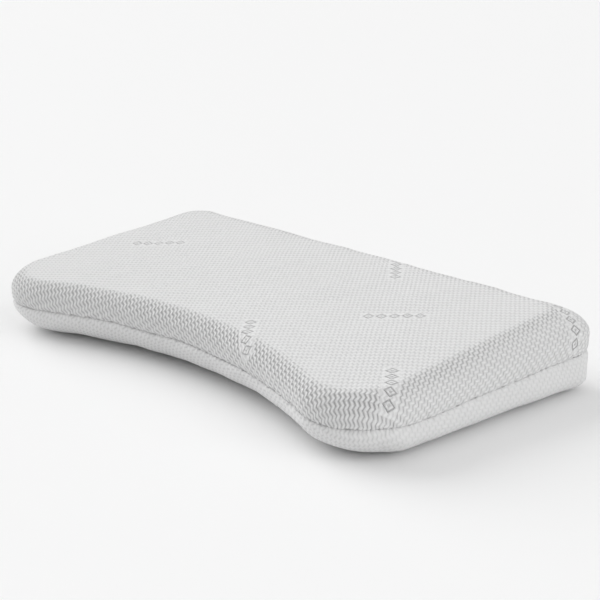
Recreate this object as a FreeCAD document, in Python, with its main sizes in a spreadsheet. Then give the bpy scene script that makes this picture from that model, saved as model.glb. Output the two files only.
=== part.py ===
"""Contoured bed pillow: a moulded foam core in a thin jersey liner, inside a removable knitted cover.

The cover is a top panel and a bottom panel joined by a seam that runs round the sides. Along the
straight back of the pillow the seam gives way to a coil zip with its slider, pull tab, stops,
topstitching and bar tacks.

Frame, in millimetres: +X along the length, +Y from the recessed front to the straight back, +Z up.
The origin is the centre of the footprint, on the surface that the pillow lies on.
"""

import FreeCAD
import Part
import math
import os

import Sketcher

VECTOR = FreeCAD.Vector

# Name, millimetres (degrees for the flare), and what it is.
DIMENSIONS = [
    ("overall_length", 600, "end to end, at the rear corners"),
    ("overall_depth", 322, "front lobes to straight back"),
    ("back_height", 86, "thickness along the straight back"),
    ("front_height", 73, "thickness along the recessed front"),
    ("rear_corner_radius", 36, "plan radius of the two rear corners"),
    ("lobe_radius", 63, "plan radius of the two front lobes"),
    ("recess_radius", 507, "plan radius of the shoulder recess in the front"),
    ("end_flare", 4, "degrees that each end spreads towards the back"),
    ("top_edge_radius", 30, "rounding between the top face and the sides"),
    ("bottom_edge_radius", 24, "rounding between the bottom face and the sides"),
    ("seam_front_height", 35, "height of the cover's seam at the front"),
    ("seam_back_height", 45, "height of the cover's seam and zip at the back"),
    ("half_gap", 0.8, "half of the open joint between upper and lower panels"),
    ("half_thread", 0.5, "half the height of a seam thread in that joint"),
    ("cover_thickness", 3, "double-knit cover fabric"),
    ("liner_thickness", 0.8, "jersey liner fabric"),
    ("liner_side_inset", 6, "outer cover face to liner, at the sides"),
    ("liner_face_inset", 3.2, "outer cover face to liner, above and below"),
    ("core_side_inset", 7, "outer cover face to foam, at the sides"),
    ("core_face_inset", 4.2, "outer cover face to foam, above and below"),
    ("edge_ease", 0.8, "how much smaller than concentric an inner layer's roundings are"),
    ("cover_thread_outer", 0.6, "outer cover face to the cover's seam thread"),
    ("cover_thread_inner", 1.8, "outer cover face to that thread's inner side"),
    ("liner_thread_outer", 6.1, "outer cover face to the liner's seam thread"),
    ("liner_thread_inner", 6.7, "outer cover face to that thread's inner side"),
    ("allowance_outer", 3.3, "outer cover face to the seam allowance inside it"),
    ("allowance_inner", 4.8, "outer cover face to the allowance's inner side"),
    ("half_allowance", 5, "half the height of the overlocked seam allowance"),
    ("slot_length", 430, "opening between the panels where the zip shows"),
    ("slot_height", 12, "height of that opening"),
    ("tape_length", 470, "zip tape"),
    ("tape_width", 9, "one side of the zip tape, below where the back starts to round over"),
    ("tape_thickness", 0.6, "zip tape"),
    ("tape_outer", 3.1, "outer cover face to the zip tape"),
    ("tape_gap", 3.8, "between the two tapes' edges, under the coil"),
    ("coil_length", 412, "closed chain, from the bottom stop to the slider's post"),
    ("coil_width", 3, "one row of the coil, across the zip"),
    ("coil_thickness", 2.2, "coil, out from the tape"),
    ("coil_gap", 0.1, "between the two rows of the coil"),
    ("slider_length", 12, "slider, along the zip"),
    ("slider_width", 9.6, "slider, across the zip at its mouth"),
    ("slider_tail_width", 7.8, "slider, across the zip at its tail"),
    ("plate_thickness", 1.2, "each slider plate"),
    ("plate_proud", 0.7, "outer plate's face, out from the cover"),
    ("channel_width", 6.6, "channel for the coil, between the slider's flanges"),
    ("slide_clearance", 0.3, "slider to tape, coil and stops"),
    ("post_length", 4, "post between the plates, which parts the coil"),
    ("post_width", 3.2, "post, across the zip"),
    ("arch_length", 9, "arch on the slider that holds the pull"),
    ("arch_width", 2, "arch, across the zip"),
    ("arch_bar", 1, "thickness of the arch's bar"),
    ("arch_leg", 1.5, "length of each of the arch's legs"),
    ("zip_proud", 3.7, "arch's face, out from the cover: the pillow's furthest point back"),
    ("pin_height", 1.7, "pull's pin, out from the cover"),
    ("pull_length", 26, "pull tab, from its pin to its tip"),
    ("pull_width", 7, "pull tab"),
    ("pull_thickness", 1.4, "pull tab and its pin"),
    ("pull_window", 5.6, "end of the opening that straddles the arch, from the pin"),
    ("pull_window_width", 3, "that opening, across"),
    ("pull_round", 0.6, "rounding of the pull's pin"),
    ("pull_corner", 2.5, "corner radius of the pull's tip"),
    ("stop_length", 3, "each zip stop, along the zip"),
    ("stop_reach", 4.9, "each top stop's far side, from the middle of the zip"),
    ("bartack_length", 3, "bar tack, along the zip"),
    ("bartack_height", 15, "bar tack, across the zip"),
    ("stitch_offset", 8, "topstitching, from the middle of the zip"),
    ("stitch_thickness", 0.5, "topstitching and bar-tack thread on the cover"),
    ("label_width", 28, "care label"),
    ("label_drop", 24, "care label, down from the seam"),
    ("label_start", 228, "care label's near edge, from the middle of the back"),
    ("label_thickness", 0.5, "care label, folded double"),
    ("label_insert", 0.4, "how far the label goes into the seam"),
]

MARGIN = 20.0  # how far a cutting outline runs past what it cuts
SHIFT = "-Dims.zip_proud / 2"  # centres the footprint, slider included, on the origin
BACK = "Dims.overall_depth / 2 - Dims.zip_proud / 2"  # the back's outer face
SEAM = "Dims.seam_back_height"  # the middle of the zip
SLIDER_X = (  # the parked slider, its post just past the end of the coil
    "Dims.coil_length / 2 + Dims.slide_clearance + Dims.post_length - Dims.slider_length / 2"
)


def driving_sheet(doc):
    """The spreadsheet of driving dimensions, one aliased number to a row."""
    sheet = doc.addObject("Spreadsheet::Sheet", "Dims")
    for row, (name, value, meaning) in enumerate(DIMENSIONS, start=1):
        sheet.set(f"A{row}", name)
        sheet.set(f"B{row}", str(value))
        sheet.set(f"C{row}", meaning)
        sheet.setAlias(f"B{row}", name)
    doc.recompute()


def size(name):
    """The value of a driving dimension."""
    return next(value for alias, value, _ in DIMENSIONS if alias == name)


# ---------------------------------------------------------------- sketches


def new_body(doc, label):
    """A body for a soft layer, whose own y = 0 is halfway through the depth of the plan."""
    body = doc.addObject("PartDesign::Body", label)
    body.Label = label
    body.setExpression(".Placement.Base.y", SHIFT)
    return body


def new_sketch(body, name, role):
    sketch = body.newObject("Sketcher::SketchObject", name)
    plane = next(o for o in body.Origin.OriginFeatures if o.Role == role)
    sketch.AttachmentSupport = [(plane, "")]
    sketch.MapMode = "FlatFace"
    return sketch


def drive(sketch, label, constraint, rule):
    """Adds a named dimension to a sketch and binds it to a rule in the driving dimensions."""
    index = sketch.addConstraint(Sketcher.Constraint(*constraint))
    sketch.renameConstraint(index, label)
    sketch.setExpression(f"Constraints.{label}", rule)


def plan_sketch(body, name, inset):
    """The kidney-shaped plan of the cover, moved inwards by the driving dimension named inset.

    Five arcs and three lines, each tangent to the next: the straight back, a rear corner, an end,
    a front lobe and the recess, then the same again up the other side.
    """
    inward = size(inset) if inset else 0.0
    half_depth = size("overall_depth") / 2
    rear_radius = size("rear_corner_radius")
    lobe_radius = size("lobe_radius")
    flare = math.radians(size("end_flare"))
    rear = VECTOR(size("overall_length") / 2 - rear_radius, half_depth - rear_radius)
    lobe_y = lobe_radius - half_depth
    narrowing = rear_radius - lobe_radius + (lobe_y - rear.y) * math.sin(flare)
    lobe = VECTOR(rear.x + narrowing / math.cos(flare), lobe_y)
    reach = size("recess_radius") + lobe_radius
    recess = VECTOR(0, lobe.y - math.sqrt(reach**2 - lobe.x**2))
    spread = math.asin(lobe.x / reach)
    rear_radius -= inward
    lobe_radius -= inward
    recess_radius = size("recess_radius") + inward

    def mirrored(point):
        return VECTOR(-point.x, point.y)

    def along(centre, radius, angle):
        return centre + VECTOR(math.cos(angle), math.sin(angle)) * radius

    def arc(centre, radius, first, last):
        circle = Part.Circle(centre, VECTOR(0, 0, 1), radius)
        return Part.ArcOfCircle(circle, first, last)

    up = math.pi / 2
    corner = along(rear, rear_radius, up)
    end_high = along(rear, rear_radius, -flare)
    end_low = along(lobe, lobe_radius, -flare)
    back, left_rear, left_end, left_lobe, dip, right_lobe, right_end, right_rear = range(8)
    sketch = new_sketch(body, name, "XY_Plane")
    outline = [
        Part.LineSegment(corner, mirrored(corner)),
        arc(mirrored(rear), rear_radius, up, 2 * up + flare),
        Part.LineSegment(mirrored(end_high), mirrored(end_low)),
        arc(mirrored(lobe), lobe_radius, 2 * up + flare, 3 * up + up - spread),
        arc(recess, recess_radius, up - spread, up + spread),
        arc(lobe, lobe_radius, 2 * up + spread, 4 * up - flare),
        Part.LineSegment(end_low, end_high),
        arc(rear, rear_radius, -flare, up),
    ]
    sketch.addGeometry(outline, False)
    first, last, centre = 1, 2, 3
    joins = [
        (back, last, left_rear, first),
        (left_rear, last, left_end, first),
        (left_end, last, left_lobe, first),
        (left_lobe, last, dip, last),
        (dip, first, right_lobe, first),
        (right_lobe, last, right_end, first),
        (right_end, last, right_rear, first),
        (right_rear, last, back, first),
    ]
    for join in joins:
        sketch.addConstraint(Sketcher.Constraint("Tangent", *join))
    y_axis = -2
    mirrors = [(back, first, back, last), (left_lobe, centre, right_lobe, centre)]
    for mirror in mirrors:
        sketch.addConstraint(Sketcher.Constraint("Symmetric", *mirror, y_axis))
    sketch.addConstraint(Sketcher.Constraint("Equal", left_rear, right_rear))
    sketch.addConstraint(Sketcher.Constraint("Equal", left_lobe, right_lobe))
    less = f" - Dims.{inset}" if inset else ""
    more = f" + Dims.{inset}" if inset else ""
    drive(sketch, "back_line", ("DistanceY", -1, 1, back, first, corner.y),
          f"Dims.overall_depth / 2{less}")
    drive(sketch, "back_length", ("DistanceX", back, last, back, first, 2 * corner.x),
          "Dims.overall_length - 2 * Dims.rear_corner_radius")
    drive(sketch, "rear_radius", ("Radius", right_rear, rear_radius),
          f"Dims.rear_corner_radius{less}")
    drive(sketch, "lobe_radius", ("Radius", right_lobe, lobe_radius),
          f"Dims.lobe_radius{less}")
    drive(sketch, "lobe_line", ("DistanceY", right_lobe, centre, -1, 1, -lobe.y),
          "Dims.overall_depth / 2 - Dims.lobe_radius")
    drive(sketch, "end_line", ("Angle", right_end, up - flare),
          "90 deg - Dims.end_flare * 1 deg")
    drive(sketch, "recess_radius", ("Radius", dip, recess_radius),
          f"Dims.recess_radius{more}")
    return sketch


def polygon_sketch(body, name, role, corners):
    """A polygon on an origin plane of the body. Each corner is a pair of rules."""
    sketch = new_sketch(body, name, role)
    count = len(corners)
    turn = 2 * math.pi / count
    start = [VECTOR(math.cos((i + 0.5) * turn), math.sin((i + 0.5) * turn)) for i in range(count)]
    sides = [Part.LineSegment(start[i], start[(i + 1) % count]) for i in range(count)]
    sketch.addGeometry(sides, False)
    for i in range(count):
        sketch.addConstraint(Sketcher.Constraint("Coincident", i, 2, (i + 1) % count, 1))
    for i, (across, upward) in enumerate(corners):
        drive(sketch, f"across_{i}", ("DistanceX", -1, 1, i, 1, start[i].x), across)
        drive(sketch, f"up_{i}", ("DistanceY", -1, 1, i, 1, start[i].y), upward)
    return sketch


def slope_sketch(body, name, front, back, above):
    """All that lies above, or below, a line across the pillow from the front lobes to the back."""
    near = f"-Dims.overall_depth / 2 - {MARGIN}"
    far = f"Dims.overall_depth / 2 + {MARGIN}"
    lean = f"(({back}) - ({front})) * {MARGIN} / Dims.overall_depth"
    limit = "2 * Dims.back_height" if above else "-Dims.back_height"
    corners = [
        (near, f"{front} - {lean}"),
        (far, f"{back} + {lean}"),
        (far, limit),
        (near, limit),
    ]
    return polygon_sketch(body, name, "YZ_Plane", corners)


def slot_sketch(body, name, length, height):
    """A rectangle round the zip, seen from the back."""
    right = f"{length} / 2"
    low = f"{SEAM} - {height} / 2"
    high = f"{SEAM} + {height} / 2"
    corners = [(f"-{right}", low), (right, low), (right, high), (f"-{right}", high)]
    return polygon_sketch(body, name, "XZ_Plane", corners)


# ---------------------------------------------------------------- features


def pad(body, name, sketch, length, midplane=False):
    feature = body.newObject("PartDesign::Pad", name)
    feature.Profile = sketch
    feature.Midplane = midplane
    feature.setExpression("Length", length)
    body.Document.recompute()
    return feature


def pocket(body, name, sketch, length, midplane=True):
    """Cuts a sketch's outline out of a body, and stops the build if that removed nothing."""
    before = body.Shape.Volume
    feature = body.newObject("PartDesign::Pocket", name)
    feature.Profile = sketch
    feature.Midplane = midplane
    feature.setExpression("Length", length)
    body.Document.recompute()
    if not feature.Shape.Volume < before - 0.01:
        raise RuntimeError(f"{name} in {body.Label} removed nothing")
    return feature


def flat_face(shape, top):
    """The name of the highest, or the lowest, large and nearly level face of a shape."""
    level = {}
    for index, face in enumerate(shape.Faces, start=1):
        if face.Surface.TypeId == "Part::GeomPlane" and abs(face.normalAt(0, 0).z) > 0.95:
            level[f"Face{index}"] = face.CenterOfMass.z
    return max(level, key=level.get) if top else min(level, key=level.get)


def round_face(body, name, base, top, radius):
    """Rounds every edge of the top or the bottom face."""
    feature = body.newObject("PartDesign::Fillet", name)
    feature.Base = (base, [flat_face(base.Shape, top)])
    feature.setExpression("Radius", radius)
    body.Document.recompute()
    return feature


def hollow(body, name, base, open_top, thickness):
    """Leaves a skin inside the outer faces, open at the top or at the bottom."""
    feature = body.newObject("PartDesign::Thickness", name)
    feature.Base = (base, [flat_face(base.Shape, open_top)])
    feature.Mode = "Skin"
    feature.Join = "Arc"
    feature.Reversed = True
    feature.setExpression("Value", thickness)
    body.Document.recompute()
    return feature


def box(doc, name, corner, extent):
    """A box with its low corner and its three sizes given as rules."""
    solid = doc.addObject("Part::Box", name)
    solid.Label = name
    for axis, rule in zip("xyz", corner):
        solid.setExpression(f".Placement.Base.{axis}", rule)
    for side, rule in zip(("Length", "Width", "Height"), extent):
        solid.setExpression(side, rule)
    return solid


# ---------------------------------------------------------------- soft layers


def foam_core(doc):
    """The moulded foam, lower along the front than along the back."""
    body = new_body(doc, "foam_core")
    plan = plan_sketch(body, "core_plan", "core_side_inset")
    pad(body, "core_block", plan, "Dims.back_height")
    through = "2 * Dims.overall_length"
    above = slope_sketch(
        body,
        "core_above",
        "Dims.front_height - Dims.core_face_inset",
        "Dims.back_height - Dims.core_face_inset",
        True,
    )
    pocket(body, "core_top", above, through)
    below = slope_sketch(
        body, "core_below", "Dims.core_face_inset", "Dims.core_face_inset", False
    )
    base = pocket(body, "core_bottom", below, through)
    less = " - Dims.core_face_inset - Dims.edge_ease"
    base = round_face(body, "core_top_edge", base, True, f"Dims.top_edge_radius{less}")
    round_face(body, "core_bottom_edge", base, False, f"Dims.bottom_edge_radius{less}")
    return body


def panel(doc, label, upper, side_inset, face_inset, thickness):
    """A skin over the top or the bottom of the pillow, and along its sides as far as the seam.

    side_inset and face_inset name driving dimensions, or are empty for the outermost layer.
    """
    body = new_body(doc, label)
    through = "2 * Dims.overall_length"
    plan = plan_sketch(body, f"{label}_plan", side_inset)
    base = pad(body, f"{label}_block", plan, "Dims.back_height")
    less = f" - Dims.{face_inset}" if face_inset else ""
    if upper:
        front, back = f"Dims.front_height{less}", f"Dims.back_height{less}"
        outside = slope_sketch(body, f"{label}_above", front, back, True)
        base = pocket(body, f"{label}_top", outside, through)
    elif face_inset:
        level = f"Dims.{face_inset}"
        outside = slope_sketch(body, f"{label}_below", level, level, False)
        base = pocket(body, f"{label}_bottom", outside, through)
    ease = " - Dims.edge_ease" if face_inset else ""
    radius = "Dims.top_edge_radius" if upper else "Dims.bottom_edge_radius"
    round_face(body, f"{label}_rounding", base, upper, f"{radius}{less}{ease}")
    gap = " + Dims.half_gap" if upper else " - Dims.half_gap"
    joint = slope_sketch(
        body,
        f"{label}_joint",
        f"Dims.seam_front_height{gap}",
        f"Dims.seam_back_height{gap}",
        not upper,
    )
    base = pocket(body, f"{label}_edge", joint, through)
    hollow(body, f"{label}_skin", base, not upper, thickness)
    return body


def cover_panel(doc, label, upper):
    """One of the cover's two panels, with half of the zip's slot cut from its back."""
    body = panel(doc, label, upper, "", "", "Dims.cover_thickness")
    slot = slot_sketch(body, f"{label}_slot", "Dims.slot_length", "Dims.slot_height")
    pocket(body, f"{label}_zip_slot", slot, "Dims.overall_depth", False)
    return body


def seam_ring(doc, label, outer, inner, half_height, open_back):
    """A band round the sides, centred on the seam, between two insets from the cover's face.

    A band with open_back set stops short of the zip on both sides.
    """
    body = new_body(doc, label)
    through = "2 * Dims.overall_length"
    pad(body, f"{label}_block", plan_sketch(body, f"{label}_outside", outer), "Dims.back_height")
    inside = plan_sketch(body, f"{label}_inside", inner)
    pocket(body, f"{label}_hollow", inside, through)
    front, back = "Dims.seam_front_height", "Dims.seam_back_height"
    above = slope_sketch(
        body, f"{label}_above", f"{front} + {half_height}", f"{back} + {half_height}", True
    )
    pocket(body, f"{label}_top", above, through)
    below = slope_sketch(
        body, f"{label}_below", f"{front} - {half_height}", f"{back} - {half_height}", False
    )
    pocket(body, f"{label}_bottom", below, through)
    if open_back:
        length = "(Dims.tape_length + 2 * Dims.slide_clearance)"
        slot = slot_sketch(body, f"{label}_slot", length, "Dims.bartack_height")
        pocket(body, f"{label}_zip_slot", slot, "Dims.overall_depth", False)
    return body


# ---------------------------------------------------------------- zip


def zip_strip(doc, label, upper, start, width, behind, thickness, length):
    """A straight strip along the zip, above or below its middle.

    start is how far from the middle it begins, behind is how far its outer face is behind the
    cover's, and a strip that lies on the cover has its own thickness as a negative behind.
    """
    low = f"{SEAM} + {start}" if upper else f"{SEAM} - {start} - {width}"
    corner = (f"-{length} / 2", f"{BACK} - {behind} - {thickness}", low)
    return box(doc, label, corner, (length, thickness, width))


def zip_slider(doc):
    """Two plates joined by a post, with flanges that hold the coil and an arch for the pull.

    Its body's own origin is on the cover's back face, at the middle of the zip and the slider.
    """
    body = doc.addObject("PartDesign::Body", "zip_slider")
    body.Label = "zip_slider"
    for axis, rule in zip("xyz", (SLIDER_X, BACK, SEAM)):
        body.setExpression(f".Placement.Base.{axis}", rule)
    half = "Dims.slider_length / 2"
    mouth, tail = "Dims.slider_width / 2", "Dims.slider_tail_width / 2"
    outline = polygon_sketch(
        body,
        "slider_outline",
        "XZ_Plane",
        [
            (f"-{half}", f"-{tail}"),
            ("Dims.slider_length / 6", f"-{mouth}"),
            (half, f"-{mouth}"),
            (half, mouth),
            ("Dims.slider_length / 6", mouth),
            (f"-{half}", tail),
        ],
    )
    inner_face = "(Dims.tape_outer + Dims.tape_thickness + Dims.slide_clearance)"
    depth = f"({inner_face} + Dims.plate_thickness + Dims.plate_proud)"
    outline.setExpression(".AttachmentOffset.Base.z", "-Dims.plate_proud")
    pad(body, "slider_block", outline, depth)
    channel = "Dims.channel_width / 2"
    plate = "(Dims.plate_thickness - Dims.plate_proud)"
    slit = "(Dims.tape_outer - Dims.slide_clearance)"
    side = "Dims.slider_width"
    hollow_outline = polygon_sketch(
        body,
        "slider_channel",
        "YZ_Plane",
        [
            (f"-{inner_face}", f"-{side}"),
            (f"-{slit}", f"-{side}"),
            (f"-{slit}", f"-{channel}"),
            (f"-{plate}", f"-{channel}"),
            (f"-{plate}", channel),
            (f"-{slit}", channel),
            (f"-{slit}", side),
            (f"-{inner_face}", side),
        ],
    )
    pocket(body, "slider_hollow", hollow_outline, "2 * Dims.slider_length")
    post_start = f"({half} - Dims.post_length)"
    post = polygon_sketch(
        body,
        "slider_post",
        "XY_Plane",
        [
            (post_start, f"-{inner_face} - Dims.plate_thickness / 2"),
            (half, f"-{inner_face} - Dims.plate_thickness / 2"),
            (half, f"-{plate} + Dims.plate_thickness / 2"),
            (post_start, f"-{plate} + Dims.plate_thickness / 2"),
        ],
    )
    pad(body, "slider_wedge", post, "Dims.post_width", True)
    end, leg = "Dims.arch_length / 2", "(Dims.arch_length / 2 - Dims.arch_leg)"
    foot = "Dims.plate_proud / 2"
    top, under = "Dims.zip_proud", "(Dims.zip_proud - Dims.arch_bar)"
    seat = "Dims.plate_proud"
    arch = polygon_sketch(
        body,
        "slider_arch",
        "XY_Plane",
        [
            (f"-{end}", foot),
            (f"-{leg}", foot),
            (f"-{leg}", under),
            (leg, under),
            (leg, foot),
            (end, foot),
            (end, f"({seat} + {under}) / 2"),
            (leg, top),
            (f"-{leg}", top),
            (f"-{end}", f"({seat} + {under}) / 2"),
        ],
    )
    pad(body, "slider_bridge", arch, "Dims.arch_width", True)
    return body


def zip_pull_tab(doc):
    """A flat tab with a window at one end, whose outer bar is the pin under the slider's arch.

    Its body's own origin is on the pin's axis.
    """
    body = doc.addObject("PartDesign::Body", "zip_pull_tab")
    body.Label = "zip_pull_tab"
    for axis, rule in zip("xyz", (SLIDER_X, f"{BACK} + Dims.pin_height", SEAM)):
        body.setExpression(f".Placement.Base.{axis}", rule)
    side, pin = "Dims.pull_width / 2", "Dims.pull_thickness / 2"
    tip = "-Dims.pull_length"
    outline = polygon_sketch(
        body, "pull_outline", "XZ_Plane",
        [(tip, f"-{side}"), (pin, f"-{side}"), (pin, side), (tip, side)],
    )
    base = pad(body, "pull_plate", outline, "Dims.pull_thickness", True)
    half_window = "Dims.pull_window_width / 2"
    window = polygon_sketch(
        body, "pull_opening", "XZ_Plane",
        [
            ("-Dims.pull_window", f"-{half_window}"),
            (f"-{pin}", f"-{half_window}"),
            (f"-{pin}", half_window),
            ("-Dims.pull_window", half_window),
        ],
    )
    tip_edges = []
    for index, edge in enumerate(base.Shape.Edges, start=1):
        run = edge.Vertexes[1].Point - edge.Vertexes[0].Point
        if abs(run.y) > 0.5 and edge.CenterOfMass.x < -size("pull_length") / 2:
            tip_edges.append(f"Edge{index}")
    rounded = body.newObject("PartDesign::Fillet", "pull_tip")
    rounded.Base = (base, tip_edges)
    rounded.setExpression("Radius", "Dims.pull_corner")
    doc.recompute()
    base = pocket(body, "pull_hole", window, "2 * Dims.pull_thickness")
    reach = size("pull_thickness") / 2
    pin_edges = []
    for index, edge in enumerate(base.Shape.Edges, start=1):
        run = edge.Vertexes[-1].Point - edge.Vertexes[0].Point
        centre = edge.CenterOfMass
        if abs(run.z) > 0.5 and abs(abs(centre.x) - reach) < 0.01 and abs(centre.y) > 0.5:
            pin_edges.append(f"Edge{index}")
    pin_round = body.newObject("PartDesign::Fillet", "pull_pin")
    pin_round.Base = (base, pin_edges)
    pin_round.setExpression("Radius", "Dims.pull_round")
    doc.recompute()
    return body


def zip_parts(doc):
    """The tapes, coils, slider, pull, stops, topstitching and bar tacks."""
    made = []
    coil_behind = "Dims.tape_outer - Dims.coil_thickness"
    on_cover = "(-Dims.stitch_thickness)"
    seam_run = "(Dims.slot_length + 2 * Dims.bartack_length)"
    for side, upper in (("upper", True), ("lower", False)):
        made.append(
            zip_strip(doc, f"zip_tape_{side}", upper, "Dims.tape_gap / 2", "Dims.tape_width",
                      "Dims.tape_outer", "Dims.tape_thickness", "Dims.tape_length")
        )
        made.append(
            zip_strip(doc, f"zip_coil_{side}", upper, "Dims.coil_gap / 2", "Dims.coil_width",
                      f"({coil_behind})", "Dims.coil_thickness", "Dims.coil_length")
        )
        made.append(
            zip_strip(doc, f"zip_stitching_{side}", upper, "Dims.stitch_offset",
                      "Dims.stitch_thickness", on_cover, "Dims.stitch_thickness", seam_run)
        )
    made.append(zip_slider(doc))
    made.append(zip_pull_tab(doc))
    coil_inner = f"{BACK} - Dims.tape_outer"
    chain = "(2 * Dims.coil_width + Dims.coil_gap)"
    made.append(
        box(doc, "zip_bottom_stop",
            ("-Dims.coil_length / 2 - Dims.stop_length", coil_inner, f"{SEAM} - {chain} / 2"),
            ("Dims.stop_length", "Dims.coil_thickness", chain))
    )
    stop_x = f"{SLIDER_X} + Dims.slider_length / 2 + Dims.slide_clearance"
    stop_width = "(Dims.stop_reach - Dims.tape_gap / 2)"
    stops = [
        box(doc, name, (stop_x, coil_inner, low),
            ("Dims.stop_length", "Dims.coil_thickness", stop_width))
        for name, low in (
            ("top_stop_upper", f"{SEAM} + Dims.tape_gap / 2"),
            ("top_stop_lower", f"{SEAM} - Dims.stop_reach"),
        )
    ]
    made.append(group(doc, "zip_top_stops", stops))
    tack_low = f"{SEAM} - Dims.bartack_height / 2"
    tacks = [
        box(doc, name, (start, BACK, tack_low),
            ("Dims.bartack_length", "Dims.stitch_thickness", "Dims.bartack_height"))
        for name, start in (
            ("tack_left", "-Dims.slot_length / 2 - 2 * Dims.bartack_length"),
            ("tack_right", "Dims.slot_length / 2 + Dims.bartack_length"),
        )
    ]
    made.append(group(doc, "zip_bartacks", tacks))
    return made


def group(doc, label, solids):
    """Several separate solids that make up one node."""
    compound = doc.addObject("Part::Compound", label)
    compound.Label = label
    compound.Links = solids
    return compound


def care_label(doc):
    """A blank folded label, caught in the seam beside the zip and hanging over the lower panel."""
    flap = box(
        doc, "label_flap",
        ("Dims.label_start", BACK, f"{SEAM} - Dims.label_drop"),
        ("Dims.label_width", "Dims.label_thickness", "Dims.label_drop + Dims.half_thread"),
    )
    insert = box(
        doc, "label_insert",
        ("Dims.label_start", f"{BACK} - Dims.label_insert", f"{SEAM} - Dims.half_thread / 2"),
        ("Dims.label_width", "2 * Dims.label_insert", "Dims.half_thread"),
    )
    label = doc.addObject("Part::Fuse", "care_label")
    label.Label = "care_label"
    label.Base = flap
    label.Tool = insert
    return label


# ---------------------------------------------------------------- build


def write_parts(doc, nodes):
    """Checks every object, then writes one STEP file for each node."""
    doc.recompute()
    for thing in doc.Objects:
        if {"Invalid", "Error"} & set(thing.State):
            raise RuntimeError(f"{thing.Label} did not compute: {thing.State}")
    for node in nodes:
        shape = node.Shape
        if shape.isNull() or not shape.isValid() or not shape.Solids:
            raise RuntimeError(f"{node.Label} is not a valid solid")
    os.makedirs("parts", exist_ok=True)
    for node in nodes:
        node.Shape.exportStep(f"parts/{node.Label}.step")
        box_now = node.Shape.BoundBox
        print(
            f"{node.Label:22s} solids {len(node.Shape.Solids)}"
            f"  volume {node.Shape.Volume:12.1f}"
            f"  x {box_now.XMin:8.2f} {box_now.XMax:8.2f}"
            f"  y {box_now.YMin:8.2f} {box_now.YMax:8.2f}"
            f"  z {box_now.ZMin:7.2f} {box_now.ZMax:7.2f}"
        )


def main():
    doc = FreeCAD.newDocument("bed_pillow")
    driving_sheet(doc)
    nodes = [foam_core(doc)]
    liner = ("liner_side_inset", "liner_face_inset", "Dims.liner_thickness")
    nodes.append(panel(doc, "liner_upper", True, *liner))
    nodes.append(panel(doc, "liner_lower", False, *liner))
    nodes.append(
        seam_ring(doc, "liner_seam_thread", "liner_thread_outer", "liner_thread_inner",
                  "Dims.half_thread", False)
    )
    nodes.append(cover_panel(doc, "cover_top_panel", True))
    nodes.append(cover_panel(doc, "cover_bottom_panel", False))
    nodes.append(
        seam_ring(doc, "cover_seam_thread", "cover_thread_outer", "cover_thread_inner",
                  "Dims.half_thread", True)
    )
    nodes.append(
        seam_ring(doc, "cover_seam_allowance", "allowance_outer", "allowance_inner",
                  "Dims.half_allowance", True)
    )
    nodes.extend(zip_parts(doc))
    nodes.append(care_label(doc))
    write_parts(doc, nodes)


main()
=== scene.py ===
"""Contoured bed pillow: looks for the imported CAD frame.

Shapes are worked out in millimetres in the CAD's own frame and turned into metres as each mesh is
made. The cover is two panels that meet in a creased seam; along the back the seam opens for a zip.
"""

import math

import bpy
import mathutils
import numpy as np
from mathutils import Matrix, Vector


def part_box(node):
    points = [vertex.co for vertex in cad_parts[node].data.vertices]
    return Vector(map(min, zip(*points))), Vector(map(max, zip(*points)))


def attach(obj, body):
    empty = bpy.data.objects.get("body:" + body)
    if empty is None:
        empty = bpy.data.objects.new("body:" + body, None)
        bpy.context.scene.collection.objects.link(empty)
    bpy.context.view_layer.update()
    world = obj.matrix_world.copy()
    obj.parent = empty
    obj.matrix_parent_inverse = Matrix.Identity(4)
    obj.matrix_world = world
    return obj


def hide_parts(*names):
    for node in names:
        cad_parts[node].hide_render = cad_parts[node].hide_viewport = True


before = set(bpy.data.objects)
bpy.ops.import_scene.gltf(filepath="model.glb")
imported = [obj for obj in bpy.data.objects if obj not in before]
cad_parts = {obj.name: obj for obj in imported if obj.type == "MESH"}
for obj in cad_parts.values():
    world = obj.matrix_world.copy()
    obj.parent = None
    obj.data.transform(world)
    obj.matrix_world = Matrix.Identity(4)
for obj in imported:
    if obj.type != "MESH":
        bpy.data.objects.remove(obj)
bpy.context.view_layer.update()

MM = 0.001

# The outline seen from above, and the heights that the top's plane would have at the back and
# front edges if nothing were rounded.
LENGTH, DEPTH = 600.0, 322.0
BACK_HEIGHT, FRONT_HEIGHT = 87.2, 65.6
MIDDLE_HEIGHT = (BACK_HEIGHT + FRONT_HEIGHT) / 2
SLOPE = (BACK_HEIGHT - FRONT_HEIGHT) / DEPTH
REAR_RADIUS, LOBE_RADIUS, RECESS_RADIUS = 36.0, 63.0, 507.0
FLARE = math.radians(4.0)  # each end leans out towards the front
BACK_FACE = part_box("cover_bottom_panel")[1][1] / MM  # y of the flat back
SHIFT_Y = BACK_FACE - DEPTH / 2  # the plan's own y = 0 in the frame
ZIP_Z = 45.0
SLOT_HALF = 215.0  # half the length of the slot that the zip lies in
SLOT_REACH = 6.0  # from the middle of the slot to each panel's edge
SLOT_END = 5.0  # how gently the slot closes at its ends

# The flat part of each face, in from the plan at an end, the back and the front, and the radii of
# its rear corner and lobe.
TOP_FLAT = (35.5, 35.5, 14.0, 20.0, 44.0)
BOTTOM_FLAT = (40.0, 40.0, 54.0, 14.0, 22.0)
# The height that each rounding takes up at the ends and back, and at the front.
TOP_ROUNDING, BOTTOM_ROUNDING = (24.0, 17.0), (22.7, 45.4)
REAR_CORNER_TIGHTER = 11.0  # less height for the bottom's rounding at the rear corners
# How far the rounding runs on along the wall and along the face before it turns, as shares of it.
TOP_TURN, BOTTOM_TURN = (0.45, 0.28), (0.52, 0.50)

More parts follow.
